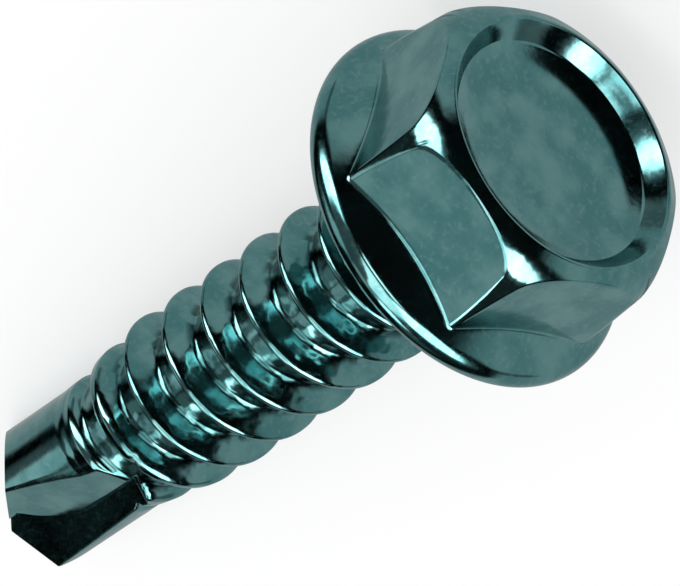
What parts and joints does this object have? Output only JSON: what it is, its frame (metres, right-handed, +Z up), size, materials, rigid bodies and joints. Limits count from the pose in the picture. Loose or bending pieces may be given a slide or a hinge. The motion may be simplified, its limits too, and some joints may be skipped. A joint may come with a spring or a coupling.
{
  "type": "self drilling screw",
  "caption": "Hexagon washer head screw with an indented head, a right-hand spaced thread and a fluted drill point, lying on its side.",
  "frame": {"origin": "centre of the footprint, on the surface the screw lies on", "axes": "+X along the screw towards its head, which leans up by about 12 degrees because the wide flange lifts it; the screw lies on the rim of its flange and on both corners of one flute; +Z up; +Y across"},
  "size_m": [0.0204, 0.0086, 0.0085],
  "materials": {
    "zinc_plated_steel": "bright zinc plating with a cool blue-green cast"
  },
  "bodies": {
    "root": {"self_drilling_screw": "zinc_plated_steel"}
  },
  "joints": []
}
